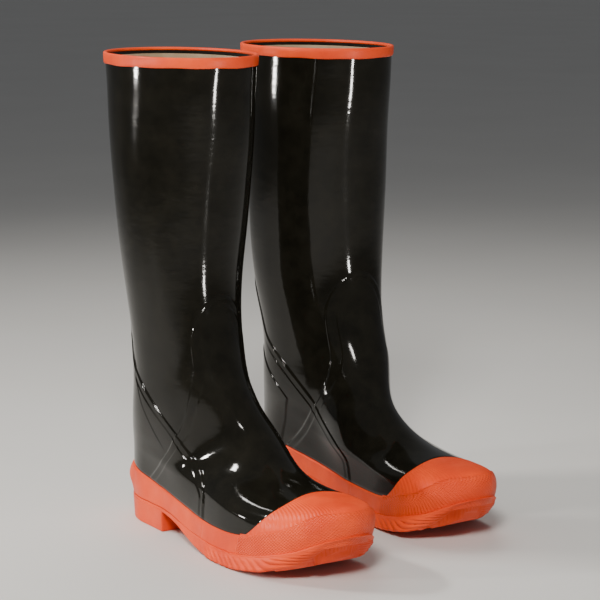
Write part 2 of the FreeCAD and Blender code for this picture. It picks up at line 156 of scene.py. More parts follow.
COLUMNS = 640                  # round the boot, on every fine mesh
LINING_COLUMNS = 320
FOOTBED_COLUMNS = 400
HALVINGS = 40                  # steps of a search by halving
WELD = 0.001                   # points this close are one point


def smooth(t):
    """Soft step from 0 at t = 0 to 1 at t = 1."""
    t = np.clip(t, 0.0, 1.0)
    return t * t * t * (t * (6.0 * t - 15.0) + 10.0)


def bell(value, centre, width):
    """Bump of height 1 round a centre."""
    return np.exp(-((value - centre) / width) ** 2)


class Spline:
    """Natural cubic spline through (x, value) pairs, flat beyond its ends."""

    def __init__(self, pairs):
        self.x = np.array([p[0] for p in pairs], float)
        self.v = np.array([p[1] for p in pairs], float)
        step = np.diff(self.x)
        n = len(pairs)
        matrix = np.eye(n)
        right = np.zeros(n)
        for i in range(1, n - 1):
            matrix[i, i - 1:i + 2] = step[i - 1], 2.0 * (step[i - 1] + step[i]), step[i]
            after = (self.v[i + 1] - self.v[i]) / step[i]
            before = (self.v[i] - self.v[i - 1]) / step[i - 1]
            right[i] = 6.0 * (after - before)
        self.bend = np.linalg.solve(matrix, right)

    def __call__(self, x):
        x = np.clip(x, self.x[0], self.x[-1])
        i = np.clip(np.searchsorted(self.x, x) - 1, 0, len(self.x) - 2)
        h = self.x[i + 1] - self.x[i]
        a = (self.x[i + 1] - x) / h
        b = (x - self.x[i]) / h
        curve = (a ** 3 - a) * self.bend[i] + (b ** 3 - b) * self.bend[i + 1]
        return a * self.v[i] + b * self.v[i + 1] + curve * h * h / 6.0


front_line = Spline(FRONT)
back_line = Spline(BACK)
foot_out = Spline(FOOT_OUT)
foot_in = Spline(FOOT_IN)
leg_half = Spline(LEG_HALF)
round_in = Spline(ROUND_IN)
round_out = Spline(ROUND_OUT)
round_back = Spline(ROUND_BACK)
level_back = Spline([(i, pair[0]) for i, pair in enumerate(LEVEL_KEYS)])
level_front = Spline([(i, pair[1]) for i, pair in enumerate(LEVEL_KEYS)])
feather = Spline(FEATHER)
underside = Spline(UNDERSIDE)
foxing_top = Spline(FOXING_TOP)
bumper_top = Spline(BUMPER_TOP)


def rise(y):
    """How far the toe spring lifts the foot at y."""
    t = (SPRING_START_Y - y) / SPRING_RUN
    t = np.minimum((t + np.sqrt(t * t + SPRING_EASE)) / 2.0, SPRING_LIMIT)
    return TOE_SPRING * t ** SPRING_POWER


def quarter(t):
    """Quarter round from 0 to 1, ending with no jump in its bend."""
    t = np.clip(t / 1.12, 0.0, 1.0)
    return np.sqrt(1.0 - (1.0 - t) ** 2.3)


def half_width(y, z, outer):
    """Half width at y and height z before toe spring, on the outer or the inner side."""
    foot = np.where(outer, foot_out(y), foot_in(y))
    width = foot + (leg_half(z) - foot) * smooth((z - BLEND_Z) / BLEND_RUN)
    length = np.where(outer, round_out(z), round_in(z))
    return width * quarter((y - front_line(z)) / length) * quarter((back_line(z) - y) / round_back(z))


def centre(y, z):
    """Centre line: the toes turn inwards, the instep ridge too, and the leg twists a little."""
    toe = TOE_IN * smooth((-y - 90.0) / 150.0)
    ridge = RIDGE_IN * bell(z, 88.0, 32.0) * smooth((-y - 30.0) / 70.0)
    middle = (front_line(z) + back_line(z)) / 2.0
    twist = (ANKLE_TWIST * bell(z, 200.0, 90.0) + TOP_TWIST * smooth((z - 250.0) / 156.0)) * (y - middle)
    return toe + ridge + twist


def flat_form(level, angle):
    """(x, y, z) before toe spring; angle 0 is the back, pi the front, under pi the outer side."""
    y_back = back_line(level_back(level))
    y_front = front_line(level_front(level))
    t = (1.0 - np.cos(angle)) / 2.0
    y = y_back + (y_front - y_back) * t
    z = level_back(level) + (level_front(level) - level_back(level)) * t
    outer = np.sin(angle) > 0.0
    x = centre(y, z) + np.where(outer, -1.0, 1.0) * half_width(y, z, outer)
    return x, y, z


def form(level, angle):
    """Points on the boot's outside."""
    x, y, z = flat_form(level, angle)
    return np.stack([x, y, z + rise(y)], -1)


def normals(level, angle):
    """Outward directions on the boot's outside."""
    along = form(level, angle + 0.012) - form(level, angle - 0.012)
    up = form(np.minimum(level + 0.05, TOP_LEVEL), angle) - form(level - 0.05, angle)
    out = np.cross(along, up)
    return out / np.linalg.norm(out, axis=-1, keepdims=True)


def turning_level(passed, angle, low, high):
    """The level, between two, up to which passed(y, z) holds on the outside."""
    low = np.full(angle.shape, low)
    high = np.full(angle.shape, high)
    for _ in range(HALVINGS):
        middle = (low + high) / 2.0
        x, y, z = flat_form(middle, angle)
        holds = passed(y, z)
        low = np.where(holds, middle, low)
        high = np.where(holds, high, middle)
    return middle


def level_at(height, angle):
    """The level where the outside meets a height function of y."""
    return turning_level(lambda y, z: z < height(y), angle, 4.0, 12.0)


def round_angles(count=COLUMNS):
    return np.arange(count) * 2.0 * math.pi / count


def lifted(level, angle, height):
    """The outside, moved out by height."""
    return form(level, angle) + normals(level, angle) * height[..., None]


# ------------------------------------------------------------------ seams on the black upper
def curve_points(pairs, per_step=8):
    """Smooth row of points through side view pairs."""
    steps = np.arange(len(pairs))
    first = Spline(list(zip(steps, [p[0] for p in pairs])))
    second = Spline(list(zip(steps, [p[1] for p in pairs])))
    fine = np.linspace(0, len(pairs) - 1, (len(pairs) - 1) * per_step + 1)
    return np.stack([first(fine), second(fine)], -1)


def inside_distance(a, b, outline):
    """Distance inside a closed outline, negative outside."""
    best = np.full(a.shape, 1e9)
    inside = np.zeros(a.shape, bool)
    for (x0, y0), (x1, y1) in zip(outline, np.roll(outline, -1, axis=0)):
        dx, dy = x1 - x0, y1 - y0
        t = np.clip(((a - x0) * dx + (b - y0) * dy) / max(dx * dx + dy * dy, 1e-9), 0.0, 1.0)
        best = np.minimum(best, np.hypot(a - x0 - t * dx, b - y0 - t * dy))
        if y0 != y1:
            inside ^= ((y0 > b) != (y1 > b)) & (a < x0 + (b - y0) * dx / dy)
    return np.where(inside, best, -best)


def region(edge, *corners):
    """Outline made of a smooth edge and plain corners."""
    return np.vstack([curve_points(edge)] + [np.array([corner], float) for corner in corners])


def soft_max(a, b, radius):
    """The larger of two, rounded over where they meet."""
    gap = np.maximum(radius - np.abs(a - b), 0.0) / radius
    return np.maximum(a, b) + gap * gap * radius / 4.0


counter_region = region(COUNTER_EDGE, (120, 10), (120, 196))
instep_region = region(INSTEP_EDGE, (-280, 10), (-280, 140))
line_region = region(LINE_OUT, (120, 60), (120, 166))
cap_edge = curve_points(CAP_REAR)
cap_edge = cap_edge[np.argsort(cap_edge[:, 1])]
stay_region = np.vstack([curve_points(STAY_EDGE), curve_points(STAY_FRONT)[1:], [(120, 10), (120, 150)]])
crown = np.linspace(0.0, math.pi, 17)
arch_region = np.vstack([
    [(-ARCH_HALF, 90.0)],
    np.stack([-ARCH_HALF * np.cos(crown), ARCH_SPRING_Z + (ARCH_TOP - ARCH_SPRING_Z) * np.sin(crown)], -1),
    [(ARCH_HALF, 90.0)]])


def edge_step(distance):
    """Rise from 0 to 1 across an overlay's edge."""
    return smooth(distance / SEAM_WIDTH + 0.5)


def cap_rear(z):
    """Where the toe cap's rear edge lies at height z."""
    return np.interp(z, cap_edge[:, 1], cap_edge[:, 0])


def black_height(x, y, z):
    """How far the laid-on pieces of black rubber raise the upper."""
    counter = inside_distance(y, z, counter_region)
    instep = inside_distance(y, z, instep_region)
    stay = inside_distance(y, z, stay_region)
    arch = np.where(y < -20.0, inside_distance(x, z, arch_region), -99.0)
    instep = soft_max(instep, arch, 14.0)
    low = smooth((150.0 - z) / 30.0)
    inner = smooth((x + 9.0) / 14.0)
    line = inside_distance(y, z, line_region)
    height = OVERLAY * (edge_step(counter) + edge_step(instep)) + STAY * edge_step(stay) * inner
    height += LINE_STEP * edge_step(line) * (1.0 - inner) * smooth((z - 68.0) / 18.0)
    height += STEP_IN * edge_step(counter - 6.0) * low + STEP_IN * edge_step(instep - 7.0)
    over_band = smooth((z - foxing_top(y) + 0.8) / 3.0)
    under_cap = smooth((cap_rear(z) - y) / 2.0)
    return (UNDER_BANDS + (height - UNDER_BANDS) * over_band) * (1.0 - 0.75 * under_cap)


def sway(x, y, z):
    """Slight dents and swellings of a soft hand-laid boot."""
    a = np.sin(z / 23.0 + x / 31.0 + 0.7) * np.sin(y / 27.0 - z / 41.0 + 1.9)
    b = np.sin(z / 57.0 - y / 38.0 + 2.2) * np.sin(x / 24.0 + z / 71.0 + 0.4)
    ankle = bell(z, 135.0, 45.0) * np.sin(z / 11.0 + y / 17.0 + 0.5 * np.sin(x / 19.0))
    return 0.30 * a + 0.45 * b + 0.25 * ankle


# ------------------------------------------------------------------ meshes
def boot_origin(side):
    """Where the boot's own origin stands in the frame, in metres."""
    low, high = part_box(side + "_heel_core")
    turn = 0.0 if side == "right" else LEFT_TURN
    reach = CORE_MIDDLE_Y * MM
    middle = (low + high) / 2.0
    return np.array([middle.x + reach * math.sin(turn), middle.y - reach * math.cos(turn), 0.0])


def placed(side, points):
    """Boot millimetres to frame metres."""
    points = np.asarray(points, float).reshape(-1, 3) * MM
    if side == "left":
        c, s = math.cos(LEFT_TURN), math.sin(LEFT_TURN)
        x, y = -points[:, 0], points[:, 1]
        points = np.stack([x * c - y * s, x * s + y * c, points[:, 2]], -1)
    return points + boot_origin(side)


def quads_of(rows, columns, wrap_rows, wrap_columns):
    """Corner numbers of the faces of a grid of points, row by row."""
    i = np.arange(rows if wrap_rows else rows - 1)[:, None]
    j = np.arange(columns if wrap_columns else columns - 1)[None, :]
    i2, j2 = (i + 1) % rows, (j + 1) % columns
    corners = [i * columns + j, i * columns + j2, i2 * columns + j2, i2 * columns + j]
    return np.stack(corners, -1).reshape(-1, 4)


def new_piece(side, name, points, quads, uvs, material, nodes, weld=False, rides="boot"):
    """A mesh object that stands for nodes of one boot. Its faces are turned outwards."""
    points = placed(side, points)
    corners = points[quads[:, :3]]
    if np.einsum("ij,ij->", corners[:, 0], np.cross(corners[:, 1], corners[:, 2])) < 0.0:
        quads = quads[:, ::-1]
    mesh = bpy.data.meshes.new(side + "_" + name)
    mesh.vertices.add(len(points))
    mesh.vertices.foreach_set("co", points.ravel())
    mesh.loops.add(quads.size)
    mesh.loops.foreach_set("vertex_index", quads.ravel())
    mesh.polygons.add(len(quads))
    mesh.polygons.foreach_set("loop_start", np.arange(0, quads.size, 4))
    mesh.update(calc_edges=True)
    layer = mesh.uv_layers.new(name="UVMap")
    layer.uv.foreach_set("vector", (np.asarray(uvs, float).reshape(-1, 2)[quads.ravel()] * MM).ravel())
    mesh.polygons.foreach_set("use_smooth", np.ones(len(quads), bool))
    if weld:
        work = bmesh.new()
        work.from_mesh(mesh)
        bmesh.ops.remove_doubles(work, verts=work.verts, dist=WELD * MM)
        work.to_mesh(mesh)
        work.free()
    mesh.validate()
    mesh.materials.append(material)
    piece = bpy.data.objects.new(side + "_" + name, mesh)
    bpy.context.scene.collection.objects.link(piece)
    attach(piece, side + "_" + rides)
    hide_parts(*[side + "_" + node for node in nodes])
    return piece


def tube(side, name, rows, material, nodes, weld=False, rides="boot"):
    """Closed surface of rows of points that go round; a welded one closes at its first and last row."""
    points = np.array(rows)
    along = np.linalg.norm(np.diff(points, axis=1, append=points[:, :1]), axis=-1).cumsum(1)
    across = np.linalg.norm(np.diff(points, axis=0, prepend=points[:1]), axis=-1).cumsum(0)
    uvs = np.stack([along, across], -1)
    quads = quads_of(*points.shape[:2], not weld, True)
    return new_piece(side, name, points, quads, uvs, material, nodes, weld, rides)


def patch(side, name, outside, inside, material, nodes):
    """Closed sheet between two open grids of points of one size."""
    outside = np.array(outside)
    rows, columns = outside.shape[:2]
    count = rows * columns
    face = quads_of(rows, columns, False, False)[:, ::-1]
    grid = np.arange(count).reshape(rows, columns)
    rim = np.concatenate([grid[0, :-1], grid[:-1, -1], grid[-1, :0:-1], grid[:0:-1, 0]])
    after = np.roll(rim, -1)
    walls = np.stack([rim, after, after + count, rim + count], -1)
    quads = np.vstack([face, face[:, ::-1] + count, walls])
    along = np.linalg.norm(np.diff(outside, axis=1, prepend=outside[:, :1]), axis=-1).cumsum(1)
    across = np.linalg.norm(np.diff(outside, axis=0, prepend=outside[:1]), axis=-1).cumsum(0)
    uvs = np.stack([along, across], -1).reshape(-1, 2)
    points = np.vstack([outside.reshape(-1, 3), inside.reshape(-1, 3)])
    return new_piece(side, name, points, quads, np.vstack([uvs, uvs]), material, nodes)


# ------------------------------------------------------------------ pieces of the boot
def black_upper(side, material):
    """Leg and foot rubber with the pieces laid on them, down to the feather line."""
    angle = round_angles()
    start = level_at(feather, angle)
    joint = 10.0               # from this level up the rows are plain levels
    arch_low, arch_high = 17.0, 17.8   # finer rows cross the top of the arch on the shin
    spread = np.linspace(0.0, 1.0, 44, endpoint=False)[:, None]
    low = start[None, :] + (joint - start[None, :]) * spread
    plain = np.concatenate([np.linspace(joint, arch_low, 150, endpoint=False),
                            np.linspace(arch_low, arch_high, 30, endpoint=False),
                            np.linspace(arch_high, TOP_LEVEL - 0.02, 62)])
    level = np.vstack([low, np.repeat(plain[:, None], COLUMNS, axis=1)])
    grid = np.repeat(angle[None, :], len(level), axis=0)
    x, y, z = flat_form(level, grid)
    free = smooth((z - 30.0) / 30.0) * smooth((400.0 - z) / 30.0)
    height = black_height(x, y, z) + sway(x, y, z) * free
    outside = lifted(level, grid, height)
    back_rows = np.linspace(len(level) - 1, 0, 40).astype(int)
    inside = lifted(level[back_rows], grid[back_rows], np.full((len(back_rows), COLUMNS), -RUBBER))
    return tube(side, "black_upper", np.vstack([outside, inside]), material,
                ("leg_rubber", "foot_rubber", "instep_piece", "counter_piece", "heel_stay"))


def band_back(low, high, angle, heights):
    """Back of a band between two levels, with a list of (share of its height, offset)."""
    depth = np.full(angle.shape, -SUNK)
    return np.array([lifted(low + (high - low) * share, angle, depth) for share, _ in heights])


def rounded(thickness, edge, count):
    """Rows (share, offset) of a band whose upper edge is rounded over."""
    shares = np.concatenate([np.linspace(0.0, 1.0 - edge, count, endpoint=False),
                             1.0 - edge + edge * np.sin(np.linspace(0.0, math.pi / 2.0, 7))])
    drop = np.clip((shares - (1.0 - edge)) / edge, 0.0, 1.0)
    return [(share, thickness * math.sqrt(max(1.0 - fall * fall, 0.0))) for share, fall in zip(shares, drop)]


def foxing(side, material):
    """Band round the heel and both sides, with the kick-off spur and the seams showing through."""
    angle = np.linspace(-CAP_CORNER - 0.05, CAP_CORNER + 0.05, COLUMNS)
    low = level_at(feather, angle)
    high = level_at(foxing_top, angle)
    heights = rounded(FOXING, 0.10, 26)
    outside = []
    for share, offset in heights:
        level = low + (high - low) * share
        x, y, z = flat_form(level, angle)
        spur = SPUR * bell(z, SPUR_Z, 9.0) * smooth((y - 34.0) / 26.0)
        steps = 0.12 * np.sin(y / 9.0 + 2.0 * np.sin(z / 8.0)) + 0.1 * np.sin(y / 3.7 + z / 11.0)
        steps = steps - 0.35 * bell(y + 0.25 * z, -88.0, 0.9)
        fade = min(1.0, 6.0 * (1.0 - share))
        outside.append(lifted(level, angle, offset + (spur + steps) * fade))
    inside = band_back(low, high, angle, heights)
    return patch(side, "foxing", outside, inside, material, ("foxing",))


def toe_bumper(side, material):
    """Strip round the toe below the cap."""
    angle = np.linspace(CAP_CORNER - 0.03, 2.0 * math.pi - CAP_CORNER + 0.03, COLUMNS)
    low = level_at(feather, angle)
    high = level_at(bumper_top, angle)
    heights = rounded(BUMPER, 0.12, 26)
    outside = []
    for share, offset in heights:
        level = low + (high - low) * share
        x, y, z = flat_form(level, angle)
        ends = smooth((angle - angle[0]) / 0.05) * smooth((angle[-1] - angle) / 0.05)
        height = offset + 0.15 * np.sin(y / 13.0 + x / 7.0)
        outside.append(lifted(level, angle, height * (0.45 + 0.55 * ends)))
    inside = band_back(low, high, angle, heights)
    return patch(side, "toe_bumper", outside, inside, material, ("toe_bumper",))


def toe_cap(side, material):
    """Cap over the toe, ribbed from its rear edge down to the bumper."""
    columns = RIBS * 8
    angle = np.linspace(CAP_CORNER + 0.012, 2.0 * math.pi - CAP_CORNER - 0.012, columns)
    low = level_at(bumper_top, angle) - 0.12
    rear = turning_level(lambda y, z: y < cap_rear(z), angle, 6.5, 13.0)
    high = np.maximum(rear, low + 0.15)
    heights = rounded(CAP, 0.03, 70)
    rib_phase = np.linspace(0.0, RIBS * 2.0 * math.pi, columns)
    middle_fade = 1.0 - 0.55 * bell(angle, math.pi, 0.35)
    outside = []
    for share, offset in heights:
        level = low + (high - low) * share
        rib = RIB_HEIGHT * np.abs(np.sin(rib_phase / 2.0)) * middle_fade * smooth((1.0 - share) / 0.05)
        outside.append(lifted(level, angle, offset + rib))
    inside = band_back(low, high, angle, heights)
    return patch(side, "toe_cap", outside, inside, material, ("toe_cap",))


def at_heights(z, offset, angle):
    """Points round the leg at height z, moved out by offset."""
    levels = np.linspace(17, TOP_LEVEL, 200)
    level = np.full(angle.shape, np.interp(z, level_back(levels), levels))
    points = lifted(np.minimum(level, TOP_LEVEL - 0.02), angle, np.full(angle.shape, offset))
    points[:, 2] = z
    return points


def topline_binding(side, material):
    """Thin red band round the outside of the topline, rolled over the rim."""
    angle = round_angles()
    low = BOOT_HEIGHT - BINDING_H
    top = BOOT_HEIGHT
    outline = [(low, -0.3), (low, 0.9), (low + 0.35, 1.25), (low + 1.0, BINDING),
               (low + 3.0, BINDING + 0.15), (low + 6.0, BINDING + 0.1), (top - 1.2, BINDING),
               (top - 0.4, BINDING - 0.35), (top, BINDING - 1.1), (top, -0.6), (top - 0.3, -1.5),
               (top - 1.2, -RUBBER - 0.1), (top - 2.5, -RUBBER - 0.1), (top - 2.5, -0.9)]
    rows = []
    for z, offset in outline:
        points = at_heights(z, offset, angle)
        if z <= low + 1.0:
            points[:, 2] += 0.35 * np.sin(3.0 * angle + 0.6) + 0.2 * np.sin(11.0 * angle)
        rows.append(points)
    return tube(side, "topline_binding", rows, material, ("topline_binding",))


def inner_lining(side, material):
    """Tan lining: facing at the collar, and one stocking over the insulation below it."""
    angle = round_angles(LINING_COLUMNS)
    start = level_at(feather, angle) + 0.1
    stack = []
    for share in np.linspace(0.0, 1.0, 90):
        level = start + (TOP_LEVEL - 0.1 - start) * share
        x, y, z = flat_form(level, angle)
        stack.append((level, RUBBER + FOAM * smooth((FACING_STEP_Z - z) / FACING_STEP_RUN)))
    rows = [lifted(level, angle, -depth - 0.05) for level, depth in stack]
    rows += [lifted(level, angle, -depth - LINING) for level, depth in reversed(stack)]
    return tube(side, "inner_lining", rows, material,
                ("collar_facing", "leg_lining", "foot_lining"))


# ------------------------------------------------------------------ sole
def plan_outline(margin, count=COLUMNS):
    """(x, y) round the foot at the height of the sole, moved out by margin."""
    angle = round_angles(count)
    y_back, y_front = back_line(PLAN_Z), front_line(PLAN_Z)
    y = y_back + (y_front - y_back) * (1.0 - np.cos(angle)) / 2.0
    outer = np.sin(angle) > 0.0
    z = np.full(count, PLAN_Z)
    x = centre(y, z) + np.where(outer, -1.0, 1.0) * half_width(y, z, outer)
    points = np.stack([x, y], -1)
    along = np.roll(points, -1, axis=0) - np.roll(points, 1, axis=0)
    out = np.stack([along[:, 1], -along[:, 0]], -1)
    out /= np.linalg.norm(out, axis=1, keepdims=True)
    if np.mean(np.einsum("ij,ij->i", out, points - points.mean(0))) < 0.0:
        out = -out
    return points + out * margin, out


def spine_of(shrink_front, shrink_back, count=COLUMNS):
    """Middle line of the sole, point for point with plan_outline and the same for both sides."""
    y_back, y_front = back_line(PLAN_Z), front_line(PLAN_Z)
    y = y_back + (y_front - y_back) * (1.0 - np.cos(round_angles(count))) / 2.0
    y = np.clip((y + y[-np.arange(count)]) / 2.0, y_front + shrink_front, y_back - shrink_back)
    return np.stack([centre(y, np.full(count, PLAN_Z)), y], -1)


def under(y):
    """Height of the sole's underside, which rolls up at the very tip."""
    tip = 9.0 * smooth((-y - 206.0) / 34.0) + 5.0 * np.clip((-y - 200.0) / 36.0, 0.0, 1.1) ** 1.4
    return np.maximum(underside(y), 0.0) + rise(y) + tip


def plate_top(y):
    """Height of the sole's upper edge, at the foot of the foxing and the bumper."""
    return feather(y) + rise(y) + 4.5 * smooth((-y - 200.0) / 38.0)


def grooves(x, y):
    """Depth of the tread grooves, 0 to 1, on the forefoot and the heel."""
    front = np.zeros(np.shape(y))
    for i in range(GROOVES):
        slant = GROOVE_SLANT if i % 2 else -GROOVE_SLANT
        gap = np.abs(y - (GROOVE_START_Y - GROOVE_STEP * i) - x * slant)
        front = np.maximum(front, smooth((GROOVE_HALF - gap) / GROOVE_EDGE))
    heel = np.zeros(np.shape(y))
    for i in range(HEEL_GROOVES):
        gap = np.abs(y - HEEL_GROOVE_Y - HEEL_GROOVE_STEP * i)
        heel = np.maximum(heel, smooth((GROOVE_HALF - gap) / GROOVE_EDGE))
    return np.where(y < -70.0, front, np.where(y > HEEL_BREAST_Y, heel, 0.0))


def lugs(edge_x, edge_y, below):
    """How far the slanting lugs stand out of the forefoot's edge, 'below' mm under the feather."""
    length = np.hypot(np.diff(edge_x, append=edge_x[:1]), np.diff(edge_y, append=edge_y[:1])).cumsum()
    outer = np.arange(len(edge_y)) < len(edge_y) / 2
    run = np.where(outer, length, length[-1] - length)
    lean = 0.9 + 2.3 * smooth((-edge_y - 165.0) / 60.0)
    wobble = 1.3 * np.sin(run / 17.0) + 0.8 * np.sin(run / 6.1 + 1.0)
    phase = (run - lean * below + wobble) / LUG_PITCH
    ridge = np.abs(np.sin(math.pi * phase)) ** 0.6
    fine = 0.25 * np.sin(2.0 * math.pi * (run - 2.2 * below) / 2.9)
    zone = smooth((-edge_y - 92.0) / 14.0)
    depth = smooth((below - 2.2) / 2.5)
    return zone * depth * (LUG_HEIGHT * ridge - LUG_SUNK + fine)


def sole_plate(side, material):
    """The sole from toe to heel, with lugs round the forefoot and tread below."""
    edge, out = plan_outline(HEEL_MARGIN)
    forefoot = smooth((-edge[:, 1] - 84.0) / 34.0) * (1.0 - 0.8 * smooth((-edge[:, 1] - 186.0) / 34.0))
    edge = edge + out * ((SOLE_MARGIN - HEEL_MARGIN) * forefoot)[:, None]
    x, y = edge[:, 0], edge[:, 1]
    top = plate_top(y)
    thick = top - np.minimum(under(y), top - LEAST_SOLE)
    spine = spine_of(40.0, 30.0)
    tip = smooth((-y - 176.0) / 46.0)
    rows = []
    for k in (1.0, 0.6, 0.3):
        flat = edge + (spine - edge) * k
        rows.append(np.column_stack((flat, plate_top(flat[:, 1]))))
    for margin, drop in ((-1.2, 0.0), (-0.45, 0.15), (0.0, 0.6)):
        rows.append(np.column_stack((edge + out * margin, top - drop)))
    for share in np.linspace(0.08, 0.94, 22):
        below = thick * share
        bulge = lugs(x, y, below)
        crease = -0.45 * bell(below, 1.2, 0.6) * forefoot
        tuck = -1.5 * smooth((share - 0.8) / 0.2) - TIP_BEVEL * tip * share ** 1.8
        rows.append(np.column_stack((edge + out * (bulge + crease + tuck)[:, None], top - below)))
    inset = 2.3 + 12.6 * tip   # the tread starts where the edge's last row ends
    for k in np.linspace(0.02, 1.0, 36):
        flat = edge - out * (inset * (1.0 - k))[:, None] + (spine - edge) * k
        low = under(flat[:, 1])
        room = plate_top(flat[:, 1]) - low
        low = np.minimum(low, plate_top(flat[:, 1]) - LEAST_SOLE)
        depth = TREAD_DEPTH * grooves(flat[:, 0], flat[:, 1]) * smooth(room / TREAD_DEPTH - 1.2)
        rows.append(np.column_stack((flat, low + depth)))
    return tube(side, "sole_plate", rows, material, ("outsole",), weld=True)


def loose_footbed(side, material):
    """Felt footbed that lies loose on the insole board, a little cupped and trodden."""
    edge, out = plan_outline(-(RUBBER + FOAM + LINING + BED_SIDE_GAP) - 1.0, FOOTBED_COLUMNS)
    spine = spine_of(44.0, 36.0, FOOTBED_COLUMNS)

    def felt(flat, over_board, share):
        z = feather(flat[:, 1]) + rise(flat[:, 1]) + over_board
        cup = 0.9 * bell(share, 0.0, 0.22) - 0.7 * bell(flat[:, 1], 22.0, 26.0) * share
        swirl = np.sin(flat[:, 0] / 4.3 + 1.7 * np.sin(flat[:, 1] / 9.0))
        lumps = 0.22 * swirl * np.sin(flat[:, 1] / 5.9)
        on_top = over_board > BED_LOW + 3.0
        return np.column_stack([flat, z + (cup + lumps if on_top else 0.0)])

    rows = [felt(edge + (spine - edge) * k, BED_LOW, k) for k in (1.0, 0.75, 0.5, 0.25)]
    for inset, height in ((0.5, 0.0), (0.1, 0.5), (0.0, 1.6), (0.0, 3.2), (0.25, 4.1), (0.9, 4.6)):
        rows.append(felt(edge - out * inset, BED_LOW + height, 0.0))
    rim = edge - out * 0.9
    for k in np.linspace(0.05, 1.0, 30):
        rows.append(felt(rim + (spine - rim) * k, BED_LOW + FOOTBED - 0.4, k))
    bed = tube(side, "loose_footbed", rows, material, ("footbed",), weld=True,
               rides="footbed_body")
    return bed


def heel_block(side, material):
    """Heel block under the plate, with a straight breast."""
    outline, _ = plan_outline(HEEL_MARGIN, 1600)
    rear = outline[outline[:, 1] > HEEL_BREAST_Y]
    rear = rear[np.argsort(np.arctan2(rear[:, 0], rear[:, 1] - HEEL_BREAST_Y))]
    straight = np.linspace(rear[-1], rear[0], 40)[1:-1]
    ring = np.vstack([rear, straight])
    step = np.linalg.norm(np.diff(ring, axis=0, append=ring[:1]), axis=1).cumsum()
    even = np.linspace(0.0, step[-1], 360, endpoint=False)
    ring = np.stack([np.interp(even, step, ring[:, 0]), np.interp(even, step, ring[:, 1])], -1)
    for _ in range(3):
        ring = (np.roll(ring, 1, axis=0) + ring * 2.0 + np.roll(ring, -1, axis=0)) / 4.0
    middle = np.array([0.0, 24.0])
    sections = [(0.0, 20.0), (0.5, 20.0), (1.0, 20.0)]
    sections += [(1.0 - 0.03 * (HEEL_BLOCK_H - z) / HEEL_BLOCK_H, z) for z in np.linspace(19.0, 1.2, 14)]
    sections += [(0.963, 0.5), (0.952, 0.12)]
    rows = []
    for k, z in sections:
        rows.append(np.column_stack([middle + (ring - middle) * k, np.full(len(ring), z)]))
    for k in np.linspace(0.94, 0.0, 26):
        flat = middle + (ring - middle) * k
        rows.append(np.column_stack([flat, TREAD_DEPTH * grooves(flat[:, 0], flat[:, 1])]))
    return tube(side, "heel_block", rows, material, ("outsole",), weld=True)


# ------------------------------------------------------------------ materials
GUM_SPECULAR = 0.28
RED_DEEP = (0.66, 0.046, 0.008)
RED_LIGHT = (0.86, 0.085, 0.016)


def new_material(name, colour, roughness):
    """A Principled material, with its tree and shader."""
    material = bpy.data.materials.new(name)
    material.use_nodes = True
    tree = material.node_tree
    shader = tree.nodes["Principled BSDF"]
    shader.inputs["Base Color"].default_value = (*colour, 1.0)
    shader.inputs["Roughness"].default_value = roughness
    return material, tree, shader


def add(tree, kind, inputs=(), **properties):
    """A node with its inputs set; an input given as a socket is linked."""
    node = tree.nodes.new("ShaderNode" + kind)
    for key, value in properties.items():
        setattr(node, key, value)
    for key, value in dict(inputs).items():
        if isinstance(value, bpy.types.NodeSocket):
            tree.links.new(value, node.inputs[key])
        else:
            node.inputs[key].default_value = value
    return node


def object_place(tree, scale=(1.0, 1.0, 1.0)):
    """Place on the piece in metres, stretched by scale."""
    place = add(tree, "TexCoord").outputs["Object"]
    return add(tree, "Mapping", {"Vector": place, "Scale": scale}).outputs["Vector"]


def noise(tree, place, scale, detail=3.0, roughness=0.5, distortion=0.0):
    return add(tree, "TexNoise", {"Vector": place, "Scale": scale, "Detail": detail, "Roughness": roughness,
                                  "Distortion": distortion}).outputs["Fac"]


def ranged(tree, value, low, high, from_low=0.0, from_high=1.0):
    """A socket's value, spread from one range to another."""
    return add(tree, "MapRange", {"Value": value, "From Min": from_low, "From Max": from_high,
                                  "To Min": low, "To Max": high}).outputs["Result"]


def blended(tree, factor, first, second):
    """Colour between two, by a factor socket."""
    ramp = add(tree, "ValToRGB", {"Fac": factor})
    ramp.color_ramp.elements[0].color = (*first, 1.0)
    ramp.color_ramp.elements[1].color = (*second, 1.0)
    return ramp.outputs["Color"]


def bumps(tree, shader, layers):
    """Stack of bumps: (height socket, strength, distance in metres)."""
    normal = None
    for height, strength, distance in layers:
        inputs = {"Height": height, "Strength": strength, "Distance": distance}
        if normal is not None:
            inputs["Normal"] = normal
        normal = add(tree, "Bump", inputs).outputs["Normal"]
    tree.links.new(normal, shader.inputs["Normal"])


def black_rubber():
    """Glossy lacquered gum rubber, slightly rippled, with faint dust."""
    material, tree, shader = new_material("black_gum_rubber", (0.010, 0.0095, 0.0075), 0.07)
    shader.inputs["Specular IOR Level"].default_value = GUM_SPECULAR
    place = object_place(tree)
    ripple_place = object_place(tree, (0.8, 0.8, 2.6))
    dust = noise(tree, place, 55.0, 6.0, 0.65)
    patches = noise(tree, place, 9.0, 3.0)
    tint = ranged(tree, dust, 0.0, 1.0, 0.35, 0.75)
    colour = blended(tree, tint, (0.0048, 0.0044, 0.003), (0.010, 0.009, 0.0062))
    tree.links.new(colour, shader.inputs["Base Color"])
    tree.links.new(ranged(tree, patches, 0.045, 0.13, 0.3, 0.75), shader.inputs["Roughness"])
    ripple = noise(tree, ripple_place, 70.0, 2.0, 0.5, 0.3)
    broad = noise(tree, place, 22.0, 2.0)
    specks = noise(tree, place, 420.0, 2.0)
    bumps(tree, shader, [(broad, 0.25, 0.0011), (ripple, 0.28, 0.00032), (specks, 0.12, 0.00006)])
    return material


